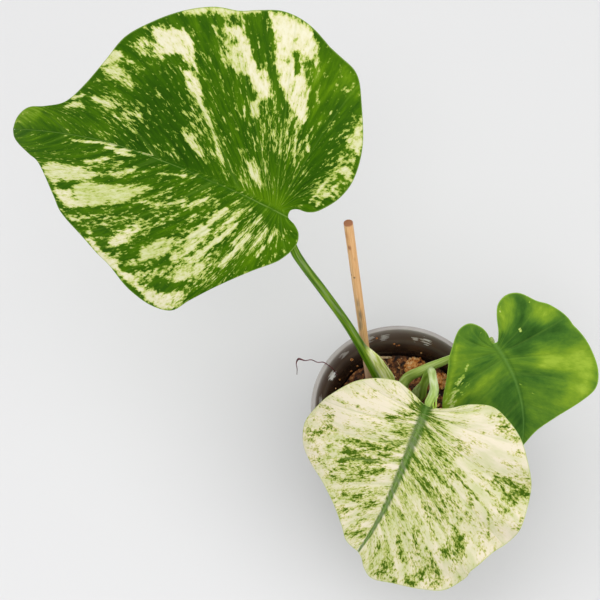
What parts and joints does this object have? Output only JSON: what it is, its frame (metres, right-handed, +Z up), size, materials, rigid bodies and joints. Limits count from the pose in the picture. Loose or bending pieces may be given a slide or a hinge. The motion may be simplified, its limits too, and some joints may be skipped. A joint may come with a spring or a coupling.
{
  "type": "potted variegated monstera",
  "caption": "Young variegated monstera with heart-shaped leaves on long stalks, in a tapering nursery pot of soil with a wooden support stick.",
  "frame": {"origin": "centre of the pot's flat base, on the surface it stands on", "axes": "+Z up along the pot's axis, -Y towards the viewer of the picture, +X to the viewer's right"},
  "size_m": [0.3106, 0.3095, 0.2934],
  "materials": {
    "pot_plastic": "thin glossy grey-black nursery plastic",
    "soil": "coarse matte bark and coir mix",
    "coir": "rough fibrous coconut husk",
    "husk": "dry pale fibre",
    "stem": "smooth green rind",
    "stalk_large": "satin green skin",
    "stalk_cream": "satin pale green skin",
    "stalk_green": "satin green skin",
    "blade_large": "leathery deep green blade with cream streaks",
    "blade_cream": "leathery cream blade with fine green flecks",
    "blade_green": "leathery green blade with lime zones",
    "stick_wood": "bare weathered wood",
    "dry_root": "dry dark red fibre"
  },
  "bodies": {
    "root": {"pot": "pot_plastic", "soil": "soil", "coir_chip_back": "coir", "coir_chip_side": "coir", "husk_strip": "husk", "stem": "stem", "stalk_large": "stalk_large", "stalk_cream": "stalk_cream", "stalk_green": "stalk_green", "blade_large": "blade_large", "blade_cream": "blade_cream", "blade_green": "blade_green", "support_stick": "stick_wood", "root_thread": "dry_root"}
  },
  "joints": []
}
